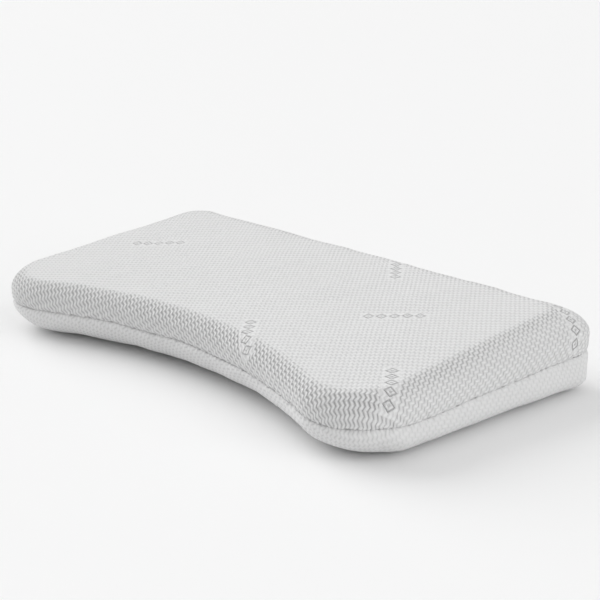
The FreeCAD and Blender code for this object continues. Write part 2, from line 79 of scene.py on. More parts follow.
# The seam's height at mid depth, its rise over the depth, and how much the front is lifted.
SEAM_HEIGHT, SEAM_RISE, SEAM_FRONT_LIFT, SEAM_WAVER = 38.2, 13.6, 4.2, 0.7
TUCK_DEPTH, TUCK_WIDTH = 2.7, 2.4  # how deep the seam is drawn in, and over what width
STITCH = 6.0  # from one stitch of the cover's seam to the next
STITCH_PIT = 0.95  # how much deeper the seam is drawn in at a stitch
STILL_BACK = 262.0  # half the length of the back over which the seam is drawn in evenly

# Grid columns over the recess, lobe, end, rear corner and back, from the front's middle to the
# back's, then rows from the seam to the flat and rows across the flat.
COLUMNS = (117, 60, 108, 32, 119)
TOP_ROWS, BOTTOM_ROWS, INNER_ROWS = (38, 44), (30, 24), (20, 14)
LINER_INSETS, FOAM_INSETS = (6.2, 3.4), (7.2, 4.4)  # in from the cover's side and face
SPINE_SHARE, SPINE_REACH, SPINE_SHIFT = 0.66, 215.0, 4.0  # the line that the flat's rows end on

# ---------------------------------------------------------------- plan


def smoothstep(x):
    x = np.clip(x, 0.0, 1.0)
    return x * x * (3.0 - 2.0 * x)


def half_plan(end_inset, back_inset, front_inset, rear_radius, lobe_radius, flare=FLARE):
    """Points and outward normals from the middle of the front to the middle of the back.

    Each of the five stretches has its own fixed number of columns, so that plans with other
    insets and radii match point for point.
    """
    lobe_y = LOBE_RADIUS - DEPTH / 2
    rear_y = DEPTH / 2 - REAR_RADIUS
    rear_x = LENGTH / 2 - REAR_RADIUS
    out = np.array([math.cos(FLARE), -math.sin(FLARE)])  # outward from an end
    on_end = np.array([rear_x, rear_y]) + out * REAR_RADIUS
    lobe_x = (on_end @ out - LOBE_RADIUS - lobe_y * out[1]) / out[0]
    recess_y = lobe_y - math.sqrt((RECESS_RADIUS + LOBE_RADIUS) ** 2 - lobe_x**2)
    recess = np.array([0.0, recess_y])
    recess_radius = RECESS_RADIUS + front_inset
    out = np.array([math.cos(flare), -math.sin(flare)])
    run = np.array([math.sin(flare), math.cos(flare)])  # along an end, to the back

    base = on_end - out * (end_inset + lobe_radius)
    gap = base - recess
    half_b = gap @ run
    reach = recess_radius + lobe_radius
    lobe = base + run * (-half_b + math.sqrt(half_b**2 - gap @ gap + reach**2))
    spread = math.atan2(lobe[0], lobe[1] - recess[1])
    rear_base = on_end - out * (end_inset + rear_radius)
    rear_line = DEPTH / 2 - back_inset - rear_radius
    rear = rear_base + run * ((rear_line - rear_base[1]) / run[1])

    def arc(centre, radius, first, last, count, sign):
        angle = np.linspace(first, last, count, endpoint=False)
        ray = np.stack([np.cos(angle), np.sin(angle)], axis=1)
        return centre + ray * radius, ray * sign

    def line(start, end, normal, count):
        part = np.linspace(0.0, 1.0, count, endpoint=False)[:, None]
        return start + (end - start) * part, np.repeat(normal[None], count, axis=0)

    quarter = math.pi / 2
    pieces = [
        arc(recess, recess_radius, quarter, quarter - spread, COLUMNS[0], -1.0),
        arc(lobe, lobe_radius, -quarter - spread, -flare, COLUMNS[1], 1.0),
        line(lobe + out * lobe_radius, rear + out * rear_radius, out, COLUMNS[2]),
        arc(rear, rear_radius, -flare, quarter, COLUMNS[3], 1.0),
    ]
    corner = rear + np.array([0.0, rear_radius])
    middle = np.array([0.0, corner[1]])
    pieces.append(line(corner, middle, np.array([0.0, 1.0]), COLUMNS[4]))
    points = np.concatenate([piece[0] for piece in pieces] + [middle[None]])
    normals = np.concatenate([piece[1] for piece in pieces] + [np.array([[0.0, 1.0]])])
    return points, normals


def whole_plan(*insets):
    """The closed plan, anticlockwise from the middle of the front, in the frame's own y."""
    points, normals = half_plan(*insets)
    mirror = np.array([-1.0, 1.0])
    points = np.concatenate([points, points[-2:0:-1] * mirror])
    normals = np.concatenate([normals, normals[-2:0:-1] * mirror])
    return points + np.array([0.0, SHIFT_Y]), normals


PLAN, NORMAL = whole_plan(0.0, 0.0, 0.0, REAR_RADIUS, LOBE_RADIUS)
TOP_PLAN, _ = whole_plan(*TOP_FLAT, 0.0)
BOTTOM_PLAN, _ = whole_plan(*BOTTOM_FLAT)
COUNT = len(PLAN)
STEP = np.linalg.norm(np.roll(PLAN, -1, axis=0) - PLAN, axis=1)
ALONG = np.concatenate([[0.0], np.cumsum(STEP)[:-1]])
AROUND = float(STEP.sum())
FRONTNESS = smoothstep(-NORMAL[:, 1])
PLAN_Y = PLAN[:, 1] - SHIFT_Y
AT_BACK = (NORMAL[:, 1] > 0.999).astype(float)
APART = np.abs(ALONG[:, None] - ALONG[None])
APART = np.minimum(APART, AROUND - APART)


def evened(values, reach):
    """Values round the plan, each blended with its neighbours up to about reach away."""
    weight = np.exp(-((APART / reach) ** 2)) * STEP
    return weight @ values / weight.sum(axis=1).reshape((-1,) + (1,) * (np.ndim(values) - 1))


def corner_share(towards, spread, reach):
    """1 at the corners whose normal leans this far to the back, falling smoothly to 0."""
    lean = np.degrees(np.arctan2(NORMAL[:, 1], np.abs(NORMAL[:, 0])))
    return evened(np.exp(-(((lean - towards) / spread) ** 2)), reach)


EASE_WAY = evened(NORMAL, 55.0)  # the way the cloth is eased out over the edges
EASE_WAY /= np.linalg.norm(EASE_WAY, axis=1)[:, None]
REAR_CORNER = corner_share(45.0, 30.0, 14.0)
FRONT_CORNER = corner_share(-45.0, 30.0, 26.0)
BOTTOM_PLAN = BOTTOM_PLAN + (PLAN - BOTTOM_PLAN) * 0.5 * REAR_CORNER[:, None]


def wave(values, seed, wavelength, count=5):
    """A smooth, repeatable sum of sines over the way round, from about -1 to 1."""
    rng = np.random.default_rng(seed)
    total = np.zeros_like(values)
    for _ in range(count):
        turns = max(1, round(AROUND / (wavelength * rng.uniform(0.7, 1.5))))
        total += np.sin(2 * np.pi * (turns * values / AROUND + rng.uniform()))
    return total / math.sqrt(count)


def ripple(points, seed, wavelength, count=9):
    """The same over a surface, from a set of plane waves in random directions."""
    rng = np.random.default_rng(seed)
    total = np.zeros(len(points))
    for _ in range(count):
        way = rng.normal(size=3)
        way /= np.linalg.norm(way) * wavelength * rng.uniform(0.7, 1.6)
        total += np.sin(2 * np.pi * (points @ way + rng.uniform()))
    return total / math.sqrt(count)


def towards_front(pair):
    """From the first value at the ends and back to the second at the front."""
    return pair[0] + (pair[1] - pair[0]) * FRONTNESS


TOP_Z = MIDDLE_HEIGHT + SLOPE * PLAN_Y
SEAM_Z = SEAM_HEIGHT + SEAM_RISE * PLAN_Y / DEPTH + SEAM_FRONT_LIFT * FRONTNESS
SEAM_Z = SEAM_Z + SEAM_WAVER * wave(ALONG, 3, 130.0) * (1.0 - AT_BACK)
SLOT = AT_BACK * smoothstep((SLOT_HALF + 3.0 - np.abs(PLAN[:, 0])) / SLOT_END)
TOP_ROUND = towards_front(TOP_ROUNDING)
BOTTOM_ROUND = towards_front(BOTTOM_ROUNDING) - REAR_CORNER_TIGHTER * REAR_CORNER

# ---------------------------------------------------------------- panels

WALL_STEPS, ROUNDING_STEPS = 12, 60  # of the profile, before the rows are spread along it
NEAR_SEAM = np.array([0.0, 0.5, 1.1, 1.9, 2.9, 4.2, 5.9, 8.0])  # the first rows' distances

def section(upper, side_inset, face_inset):
    """Each column's profile, from the seam to where the flat begins.

    It gives the way in, the height and the distance gone at each step, and the whole way in.
    """
    rounding = TOP_ROUND if upper else BOTTOM_ROUND
    limit = TOP_Z - face_inset if upper else np.full(COUNT, face_inset)
    sign = 1.0 if upper else -1.0
    flat_plan = TOP_PLAN if upper else BOTTOM_PLAN
    edge = SEAM_Z + sign * SLOT * SLOT_REACH
    drop = rounding - face_inset
    straight = sign * (limit - edge) - drop  # of the wall, from the seam to the rounding
    squeeze = np.where(straight < 0.0, 1.0 + straight / drop, 1.0)
    drop, straight = drop * squeeze, np.maximum(straight, 0.0)
    wide = np.linalg.norm(PLAN - flat_plan, axis=1) - side_inset
    upright = np.linspace(0.0, 1.0, WALL_STEPS)[:, None]
    part = np.linspace(0.0, 1.0, ROUNDING_STEPS)[1:, None]
    wall_turn, face_turn = TOP_TURN if upper else BOTTOM_TURN
    rise = 3 * wall_turn * part * (1 - part) ** 2 + 3 * part**2 * (1 - part) + part**3
    reach = 3 * (1 - face_turn) * part**2 * (1 - part) + part**3
    inward = np.concatenate([np.zeros((WALL_STEPS, COUNT)), wide * reach])
    height = np.concatenate([
        edge + sign * straight * upright,
        edge + sign * (straight + drop * rise),
    ])
    steps = np.hypot(np.diff(inward, axis=0), np.diff(height, axis=0))
    distance = np.concatenate([np.zeros((1, COUNT)), np.cumsum(steps, axis=0)])
    return inward, height, distance, wide


def draw_in(points, wanted, upper):
    """Pulls the rows near the seam inward, with stitch pits and small gathers."""
    deep = TUCK_DEPTH * (1.0 + 0.22 * wave(ALONG, 11, 24.0) + 0.12 * wave(ALONG, 5, 9.0))
    deep = deep + STITCH_PIT * np.cos(2 * np.pi * round(AROUND / STITCH) * ALONG / AROUND)
    deep = np.where(AT_BACK * (np.abs(PLAN[:, 0]) < STILL_BACK) > 0, TUCK_DEPTH, deep)
    pull = deep * np.exp(-wanted / TUCK_WIDTH)
    gather = 0.28 * wave(ALONG, 23 + upper, 7.5) * (1 - SLOT)
    pull -= gather * np.exp(-((wanted - 3.0) / 4.0) ** 2)
    points[:len(wanted), :, :2] -= NORMAL * pull[:, :, None]


def valleys_open_and_shaded(past):
    """How far the knit's valleys stand open, which sets both their bump and their painted shade:
    most where the cloth bends over the edge, and more at the front.

    past is how far each point still is from the flat.
    """
    least = towards_front((0.26, 0.42))
    bent = np.exp(-(((past - towards_front((8.0, 11.0))) / towards_front((9.0, 13.0))) ** 2))
    open_and_shaded = smoothstep((past + 6.0) / 15.0) * (least + (1.0 - least) * bent)
    return open_and_shaded * towards_front((0.72, 1.45))


def panel_grid(upper, rows, inner_rows, side_inset=0.0, face_inset=0.0, tuck=True):
    """A panel's points as rows by columns, their cloth places, and the valleys' opening and painted
    shade.
    """
    inward, height, distance, wide = section(upper, side_inset, face_inset)
    flat_plan = TOP_PLAN if upper else BOTTOM_PLAN
    outward = PLAN - flat_plan
    outward /= np.linalg.norm(outward, axis=1)[:, None]
    total = distance[-1]
    first_far = NEAR_SEAM[-1]
    far = np.linspace(0.0, 1.0, rows - len(NEAR_SEAM) + 1)[1:]
    wanted = np.concatenate([
        np.repeat(NEAR_SEAM[:, None], COUNT, axis=1),
        first_far + (total - first_far) * far[:, None],
    ])
    lean = np.clip((outward * NORMAL).sum(axis=1), 0.5, 1.0)
    steps = np.hypot(np.diff(inward, axis=0) * lean, np.diff(height, axis=0))
    straight_down = np.concatenate([np.zeros((1, COUNT)), np.cumsum(steps, axis=0)])
    points = np.empty((rows + inner_rows, COUNT, 3))
    cloth = np.empty((rows + inner_rows, COUNT, 2))
    extra = np.empty((rows, COUNT))  # cloth that the rounding takes up, over its plan
    side = PLAN - NORMAL * side_inset
    for column in range(COUNT):
        at = wanted[:, column]
        way = np.interp(at, distance[:, column], inward[:, column])
        points[:rows, column, 2] = np.interp(at, distance[:, column], height[:, column])
        share = (way / wide[column])[:, None]
        points[:rows, column, :2] = side[column] * (1 - share) + flat_plan[column] * share
        profile = straight_down[:, column]
        arc = profile[-1] - np.interp(at, distance[:, column], profile)
        extra[:, column] = arc - (wide[column] - way) * lean[column]
    eased = extra * (1.0 - 0.3 * REAR_CORNER - 0.45 * FRONT_CORNER)
    cloth[:rows] = points[:rows, :, :2] + EASE_WAY * eased[:, :, None]
    if tuck:
        draw_in(points, wanted, upper)
    if upper:  # the rounding ends on the slope of the top
        points[:rows, :, 2] += SLOPE * (points[:rows, :, 1] - side[:, 1])
    # Each end's columns meet in one point of the line that the flat's rows end on.
    spine = SPINE_SHARE * np.clip(flat_plan[:, 0], -SPINE_REACH, SPINE_REACH)
    middle = np.stack([spine, np.full(COUNT, SHIFT_Y + SPINE_SHIFT)], axis=1)
    part = (np.arange(1, inner_rows + 1) / inner_rows)[:, None, None]
    points[rows:, :, :2] = flat_plan * (1 - part) + middle * part
    cloth[rows:] = points[rows:, :, :2]
    plane_y = points[rows:, :, 1] - SHIFT_Y
    points[rows:, :, 2] = MIDDLE_HEIGHT + SLOPE * plane_y - face_inset if upper else face_inset
    open_and_shaded = np.concatenate([valleys_open_and_shaded(total - wanted), np.zeros((inner_rows, COUNT))])
    return points, cloth, open_and_shaded


def grid_faces(rows, columns, flip):
    """Quads over a grid that closes on itself sideways."""
    here = np.arange(columns)
    there = np.roll(here, -1)
    faces = []
    for row in range(rows - 1):
        low, high = row * columns, (row + 1) * columns
        quad = np.stack([low + here, low + there, high + there, high + here], axis=1)
        faces.append(quad[:, ::-1] if flip else quad)
    return np.concatenate(faces)


def surface_normals(points):
    """Unit normals of a closed-sideways grid, pointing the way grid_faces has them."""
    across = np.roll(points, -1, axis=1) - np.roll(points, 1, axis=1)
    up = np.gradient(points, axis=0)
    normal = np.cross(across, up)
    return normal / np.maximum(np.linalg.norm(normal, axis=2), 1e-9)[:, :, None]


# ---------------------------------------------------------------- meshes

TUBE_SIDES = 6
TUBE_CAP = np.array([[0, 1, 2, 3], [0, 3, 4, 5]])  # the two quads that close a tube's end
TUBE_END = 0.35  # a thread's thickness at its ends, as a share of the rest


def make_mesh(name, points, faces, material, cloth=None, open_and_shaded=None):
    """A smooth mesh object from millimetre points and quads.

    cloth, if given, is one pair for each point: where it is in the flat cloth. The last argument is
    how far the knit's valleys stand open at each point, which also sets their painted shade.
    """
    mesh = bpy.data.meshes.new(name)
    flat = np.asarray(points, dtype=float).reshape(-1, 3) * MM
    sides = faces.shape[1]
    mesh.vertices.add(len(flat))
    mesh.vertices.foreach_set("co", flat.ravel())
    mesh.loops.add(faces.size)
    mesh.loops.foreach_set("vertex_index", faces.ravel().astype(np.int32))
    mesh.polygons.add(len(faces))
    mesh.polygons.foreach_set("loop_start", np.arange(len(faces), dtype=np.int32) * sides)
    mesh.update(calc_edges=True)
    if cloth is not None:
        layer = mesh.uv_layers.new(name="cloth")
        corner = np.empty(len(mesh.loops), dtype=np.int32)
        mesh.loops.foreach_get("vertex_index", corner)
        layer.data.foreach_set("uv", (np.asarray(cloth).reshape(-1, 2) * MM)[corner].ravel())
    if open_and_shaded is not None:
        values = mesh.attributes.new("open_and_shaded", "FLOAT", "POINT")
        values.data.foreach_set("value", np.asarray(open_and_shaded, dtype=np.float32).ravel())
    mesh.validate()
    mesh.polygons.foreach_set("use_smooth", np.full(len(mesh.polygons), True))
    mesh.materials.append(material)
    obj = bpy.data.objects.new(name, mesh)
    bpy.context.scene.collection.objects.link(obj)
    return obj


def place(obj, body, node):
    """Says which body a piece rides on and hides the solid that it stands for."""
    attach(obj, body)
    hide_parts(node)


def tubes(lines, radius):
    """Round threads along polylines of equal length: points and quads, with closed ends."""
    lines = np.asarray(lines, dtype=float)
    count, length, _ = lines.shape
    way = np.gradient(lines, axis=1)
    way /= np.linalg.norm(way, axis=2)[:, :, None]
    helper = np.where(np.abs(way[:, :, 2:3]) < 0.9, [[[0.0, 0.0, 1.0]]], [[[0.0, 1.0, 0.0]]])
    one = np.cross(way, helper)
    one /= np.linalg.norm(one, axis=2)[:, :, None]
    two = np.cross(way, one)
    size = np.full(length, radius)
    size[0] = size[-1] = radius * TUBE_END
    angle = np.arange(TUBE_SIDES) * 2 * np.pi / TUBE_SIDES
    ring = (one[:, :, None] * np.cos(angle)[:, None] + two[:, :, None] * np.sin(angle)[:, None])
    points = lines[:, :, None] + ring * size[None, :, None, None]
    here = np.arange(TUBE_SIDES)
    there = (here + 1) % TUBE_SIDES
    quads = []
    for step in range(length - 1):
        a, b = step * TUBE_SIDES, (step + 1) * TUBE_SIDES
        quads.append(np.stack([a + here, b + here, b + there, a + there], axis=1))
    last = (length - 1) * TUBE_SIDES
    quads = np.concatenate([*quads, TUBE_CAP, (last + TUBE_CAP)[:, ::-1]])
    shift = np.arange(count)[:, None, None] * length * TUBE_SIDES
    return points.reshape(-1, 3), (quads[None] + shift).reshape(-1, 4)


# ---------------------------------------------------------------- materials


class Nodes:
    """Short names for building a node tree."""

    def __init__(self, name):
        self.material = bpy.data.materials.new(name)
        self.material.use_nodes = True
        self.tree = self.material.node_tree
        self.shader = self.tree.nodes["Principled BSDF"]

    def new(self, kind, **settings):
        node = self.tree.nodes.new(kind)
        for key, value in settings.items():
            setattr(node, key, value)
        return node

    def link(self, value, socket):
        if isinstance(value, bpy.types.NodeSocket):
            self.tree.links.new(value, socket)
        else:
            socket.default_value = value

    def math(self, operation, first, second=None, third=None, clamp=False):
        node = self.new("ShaderNodeMath", operation=operation, use_clamp=clamp)
        for value, socket in zip((first, second, third), node.inputs):
            if value is not None:
                self.link(value, socket)
        return node.outputs[0]

    def dot(self, first, second):
        node = self.new("ShaderNodeVectorMath", operation="DOT_PRODUCT")
        self.link(first, node.inputs[0])
        self.link(second, node.inputs[1])
        return node.outputs["Value"]

    def wrapped(self, value, half):
        """From 0 to 1 and back, over half of a pattern's pitch each way."""
        return self.math("DIVIDE", self.math("PINGPONG", value, half), half)

    def local(self):
        """The place in the object's own space."""
        return self.new("ShaderNodeTexCoord").outputs["Object"]

    def cells(self, vector, scale):
        """The distance to the nearest of scattered points."""
        node = self.new("ShaderNodeTexVoronoi", feature="F1")
        self.link(vector, node.inputs["Vector"])
        node.inputs["Scale"].default_value = scale
        return node.outputs["Distance"]

    def split(self, vector):
        node = self.new("ShaderNodeSeparateXYZ")
        self.link(vector, node.inputs[0])
        return node.outputs

    def noise(self, vector, scale, detail=2.0, rough=0.5):
        node = self.new("ShaderNodeTexNoise")
        self.link(vector, node.inputs["Vector"])
        node.inputs["Scale"].default_value = scale
        node.inputs["Detail"].default_value = detail
        node.inputs["Roughness"].default_value = rough
        return node.outputs["Fac"]

    def blend(self, factor, first, second):
        node = self.new("ShaderNodeMix", data_type="RGBA")
        self.link(factor, node.inputs["Factor"])
        self.link(first, node.inputs[6])
        self.link(second, node.inputs[7])
        return node.outputs[2]

    def bump(self, height, distance):
        node = self.new("ShaderNodeBump")
        node.inputs["Strength"].default_value = 1.0
        node.inputs["Distance"].default_value = distance
        self.link(height, node.inputs["Height"])
        return node.outputs[0]

    def finish(self, color, roughness, normal=None, sheen=0.0):
        self.link(color, self.shader.inputs["Base Color"])
        self.link(roughness, self.shader.inputs["Roughness"])
        self.shader.inputs["Sheen Weight"].default_value = sheen
        self.shader.inputs["Sheen Roughness"].default_value = 0.5
        if normal is not None:
            self.link(normal, self.shader.inputs["Normal"])
        return self.material


def grey(value, warm=0.0):
    return (value * (1 + warm), value, value * (1 - warm), 1.0)


KNIT_TURN = math.radians(36.5)
RIDGE, ZIGZAG = 4.39, 6.65  # ridge spacing and the zigzag's length along a ridge, in mm
SWING = 0.62  # how steeply the ridges zigzag
CLEAR = 5.0  # metres, moves the pattern's origin well off the cloth
MOTIFS = [  # cloth x and y in mm, and the way that the row of lozenges runs
    (-202.0, 12.0, 39.0),
    (160.0, 10.0, 39.0),
    (79.0, -108.0, -50.0),
    (71.0, 112.0, -50.0),
    (262.0, -108.0, -50.0),
    (287.0, 123.0, -22.0),
    (-290.0, 150.0, -50.0),
    (-120.0, 178.0, 39.0),
    (-296.0, -110.0, -50.0),
]


def motif_group():
    """A node group that marks a row of small outlined lozenges in the cloth.

    It takes a place in the cloth, already moved and turned so that the row runs along x.
    """
    group = bpy.data.node_groups.new("woven_motif", "ShaderNodeTree")
    group.interface.new_socket("Vector", in_out="INPUT", socket_type="NodeSocketVector")
    group.interface.new_socket("Mark", in_out="OUTPUT", socket_type="NodeSocketFloat")
    group.interface.new_socket("Field", in_out="OUTPUT", socket_type="NodeSocketFloat")
    nodes, links = group.nodes, group.links
    start = nodes.new("NodeGroupInput")
    end = nodes.new("NodeGroupOutput")
    split = nodes.new("ShaderNodeSeparateXYZ")
    links.new(start.outputs[0], split.inputs[0])

    def math_node(operation, first, second=None):
        node = nodes.new("ShaderNodeMath")
        node.operation = operation
        for value, socket in zip((first, second), node.inputs):
            if isinstance(value, bpy.types.NodeSocket):
                links.new(value, socket)
            elif value is not None:
                socket.default_value = value
        return node.outputs[0]

    pitch, tall = 12.5 * MM, 7.0 * MM  # of one lozenge, and from its middle to its tip
    across = math_node("PINGPONG", math_node("ADD", split.outputs[0], 10 * pitch), pitch / 2)
    upward = math_node("ABSOLUTE", split.outputs[1])
    diamond = math_node(
        "ADD", math_node("DIVIDE", across, pitch / 2), math_node("DIVIDE", upward, tall)
    )
    stroke = math_node("ABSOLUTE", math_node("SUBTRACT", diamond, 0.78))
    ring = math_node("SUBTRACT", 1.0, math_node("DIVIDE", stroke, 0.17))
    core = math_node("SUBTRACT", 1.0, math_node("DIVIDE", diamond, 0.30))
    shape = math_node("MAXIMUM", ring, core)
    reach = math_node("ABSOLUTE", split.outputs[0])
    inside = math_node("LESS_THAN", reach, 2.5 * pitch)
    mark = math_node("MULTIPLY", math_node("MAXIMUM", shape, 0.0), inside)
    near = math_node("MULTIPLY", math_node("LESS_THAN", upward, tall * 1.25),
                     math_node("LESS_THAN", reach, 2.7 * pitch))
    links.new(mark, end.inputs[0])
    links.new(near, end.inputs[1])
    return group


def zigzag_knit(name, relief, color, valley_shade_color, motif=None, streak=0.0, painted_shade_strength=1.0):
    """White double knit: ridges that zigzag side by side, with narrow valleys between them.

    relief is its height in mm, streak the share of fine drawn-out lines, and the last argument the
    strength of the painted shade in the valleys and on the lower leg of each zigzag.
    """
    k = Nodes(name)
    where = k.new("ShaderNodeUVMap", uv_map="cloth").outputs[0]
    wander = k.noise(where, 160.0, 2.0)
    wander = k.math("MULTIPLY", k.math("SUBTRACT", wander, 0.5), 1.1 * MM)
    across_way = (math.cos(KNIT_TURN), math.sin(KNIT_TURN), 0.0)
    along_way = (math.sin(KNIT_TURN), -math.cos(KNIT_TURN), 0.0)
    across = k.math("ADD", k.dot(where, across_way), wander)
    along = k.math("ADD", k.dot(where, along_way), CLEAR)
    swing = k.math("MULTIPLY", k.math("PINGPONG", along, ZIGZAG * MM / 2), SWING)
    ridge = k.wrapped(k.math("ADD", k.math("ADD", across, swing), CLEAR), RIDGE * MM / 2)
    ridge = k.math("SINE", k.math("MULTIPLY", ridge, math.pi / 2))
    ridge = k.math("POWER", k.math("MAXIMUM", ridge, 0.0001), 0.62)
    leg = k.math("SINE", k.math("MULTIPLY", along, 2 * math.pi / (ZIGZAG * MM)))
    leg = k.math("MULTIPLY_ADD", leg, 0.5, 0.5)  # 1 on the leg that stands higher, 0 on the other
    body = k.math("MULTIPLY_ADD", leg, 0.5, k.math("MULTIPLY", ridge, 0.7))
    loop = k.math("MULTIPLY", k.cells(where, 950.0), 0.22)
    fuzz = k.math("MULTIPLY", k.noise(where, 2200.0, 2.0), 0.10)
    height = k.math("ADD", k.math("SUBTRACT", body, loop), fuzz)
    if streak:
        lines = k.new("ShaderNodeMapping")
        lines.inputs["Rotation"].default_value = (0.0, 0.0, math.radians(20))
        lines.inputs["Scale"].default_value = (620.0, 26.0, 1.0)
        k.link(where, lines.inputs["Vector"])
        height = k.math("ADD", height, k.math("MULTIPLY", k.noise(lines.outputs[0], 1.0), streak))
    # How far the valleys stand open: it scales both the bump and the painted shade.
    open_and_shaded = k.new("ShaderNodeAttribute", attribute_name="open_and_shaded").outputs["Fac"]
    height = k.math("MULTIPLY", height, k.math("MULTIPLY_ADD", open_and_shaded, 0.7, 0.75))
    # Painted shade: the valleys between the ridges are coloured darker, most where they stand open
    # and on the lower leg of each zigzag.
    valley_shade = k.math("MULTIPLY", k.math("SUBTRACT", 1.0, ridge), painted_shade_strength)
    valley_shade = k.math("MULTIPLY", valley_shade, k.math("MULTIPLY_ADD", open_and_shaded, 1.35, 0.36))
    valley_shade = k.math("MULTIPLY", valley_shade, k.math("MULTIPLY_ADD", leg, -0.5, 1.2))
    # Painted shade on the lower leg of each zigzag, seen as faint rows across the top; less of it
    # where the valleys stand open.
    rows = k.math("MULTIPLY", k.math("SUBTRACT", 1.0, leg), 0.34 * painted_shade_strength)
    rows = k.math("MULTIPLY", rows, k.math("MULTIPLY_ADD", open_and_shaded, -0.6, 1.0, clamp=True))
    shade = k.math("SUBTRACT", 1.0, k.math("ADD", valley_shade, rows), clamp=True)
    if motif is not None:
        height, shade = woven_marks(k, motif, where, height, shade)
    tone = k.noise(where, 9.0, 3.0)
    # The colour runs from the painted shade colour, where shade is painted, to the knit's own
    # white.
    colour = k.blend(shade, grey(valley_shade_color), grey(color))
    dusk = k.blend(tone, grey(0.955), grey(1.0))
    mix = k.new("ShaderNodeMix", data_type="RGBA", blend_type="MULTIPLY")
    mix.inputs["Factor"].default_value = 1.0
    k.link(colour, mix.inputs[6])
    k.link(dusk, mix.inputs[7])
    normal = k.bump(height, relief * MM)
    rough = k.math("MULTIPLY_ADD", shade, -0.12, 0.98)
    return k.finish(mix.outputs[2], rough, normal, sheen=0.25)


def woven_marks(k, motif, where, height, shade):
    """The knit's height and painted shade with the rows of lozenges woven in."""
    marks, fields = 0.0, 0.0
    for x, y, turn in MOTIFS:
        move = k.new("ShaderNodeMapping", vector_type="TEXTURE")
        move.inputs["Location"].default_value = (x * MM, y * MM, 0.0)
        move.inputs["Rotation"].default_value = (0.0, 0.0, math.radians(turn))
        k.link(where, move.inputs["Vector"])
        stamp = k.new("ShaderNodeGroup", node_tree=motif)
        k.link(move.outputs[0], stamp.inputs[0])
        marks = k.math("MAXIMUM", stamp.outputs[0], marks)
        fields = k.math("MAXIMUM", stamp.outputs[1], fields)
    marks = k.math("MINIMUM", marks, 1.0)
    calm = k.math("SUBTRACT", 1.0, k.math("MULTIPLY", fields, 0.6))  # the knit lies flatter there
    height = k.math("MULTIPLY_ADD", height, calm, k.math("MULTIPLY", marks, 1.1))
    # Less painted valley shade round the lozenges, and painted shade on the lozenges' outlines and
    # middles.
    shade = k.math("MAXIMUM", shade, k.math("MULTIPLY", fields, 0.55))
    return height, k.math("SUBTRACT", shade, k.math("MULTIPLY", marks, 0.4), clamp=True)


def thread_material(name, color):
    """Spun sewing thread, with its twist as fine slanting ribs."""
    k = Nodes(name)
    slant = k.new("ShaderNodeMapping")
    slant.inputs["Rotation"].default_value = (0.5, 0.5, 0.8)
    k.link(k.local(), slant.inputs["Vector"])
    ribs = k.new("ShaderNodeTexWave", wave_type="BANDS")
    k.link(slant.outputs[0], ribs.inputs["Vector"])
    ribs.inputs["Scale"].default_value = 900.0
    ribs.inputs["Distortion"].default_value = 0.8
    # Painted shade: the thread is coloured darker in the grooves between its ribs.
    color_out = k.blend(ribs.outputs["Fac"], grey(color * 0.8), grey(color))
    return k.finish(color_out, 0.65, k.bump(ribs.outputs["Fac"], 0.08 * MM), sheen=0.2)


def woven_tape(name, color):
    """Herringbone-woven zip tape."""
    k = Nodes(name)
    x, _, z = k.split(k.local())
    up = k.math("ADD", z, 1.0)
    lean = k.math("PINGPONG", up, 1.8 * MM)
    weave = k.wrapped(k.math("ADD", k.math("ADD", x, lean), CLEAR), 0.4 * MM)
    rib = k.wrapped(up, 0.3 * MM)
    height = k.math("MULTIPLY_ADD", rib, 0.4, k.math("MULTIPLY", weave, 0.6))
    # Painted shade: the weave is coloured darker where it lies lower.
    color_out = k.blend(height, grey(color * 0.78), grey(color))
    return k.finish(color_out, 0.8, k.bump(height, 0.12 * MM), sheen=0.1)


def nylon(name, color, rough=0.34):
    """Moulded or drawn nylon, very slightly uneven."""
    k = Nodes(name)
    uneven = k.noise(k.local(), 900.0, 2.0)
    color_out = k.blend(uneven, grey(color * 0.93), grey(color))
    roughness = k.math("MULTIPLY_ADD", uneven, 0.14, rough)
    return k.finish(color_out, roughness, k.bump(uneven, 0.04 * MM))


def painted_metal(name, color):
    """Die-cast zinc under white enamel, rubbed a little."""
    k = Nodes(name)
    where = k.local()
    cast = k.noise(where, 700.0, 3.0)
    rub = k.noise(where, 210.0, 4.0, 0.6)
    color_out = k.blend(rub, grey(color * 0.9, 0.01), grey(color))
    roughness = k.math("MULTIPLY_ADD", rub, 0.22, 0.2)
    material = k.finish(color_out, roughness, k.bump(cast, 0.03 * MM))
    k.shader.inputs["Coat Weight"].default_value = 0.35
    return material


def foam_material(name):
    """Open-cell viscoelastic foam with a faint moulded skin."""
    k = Nodes(name)
    where = k.local()
    pores = k.math("LESS_THAN", k.cells(where, 210.0), 0.16)
    height = k.math("SUBTRACT", k.math("MULTIPLY", k.cells(where, 900.0), 0.3), pores)
    color_out = k.blend(k.noise(where, 12.0, 3.0), (0.82, 0.79, 0.68, 1), (0.9, 0.88, 0.79, 1))
    return k.finish(color_out, 0.92, k.bump(height, 0.4 * MM), sheen=0.05)


def jersey(name, color):
    """Thin single jersey: fine wales."""
    k = Nodes(name)
    where = k.new("ShaderNodeUVMap", uv_map="cloth").outputs[0]
    wale = k.wrapped(k.math("ADD", k.split(where)[0], CLEAR), 0.5 * MM)
    loop = k.noise(where, 1500.0, 2.0)
    height = k.math("MULTIPLY_ADD", loop, 0.4, k.math("MULTIPLY", wale, 0.6))
    # Painted shade: the jersey is coloured darker in the low parts of its wales and loops.
    color_out = k.blend(height, grey(color * 0.86), grey(color))
    return k.finish(color_out, 0.9, k.bump(height, 0.15 * MM), sheen=0.15)


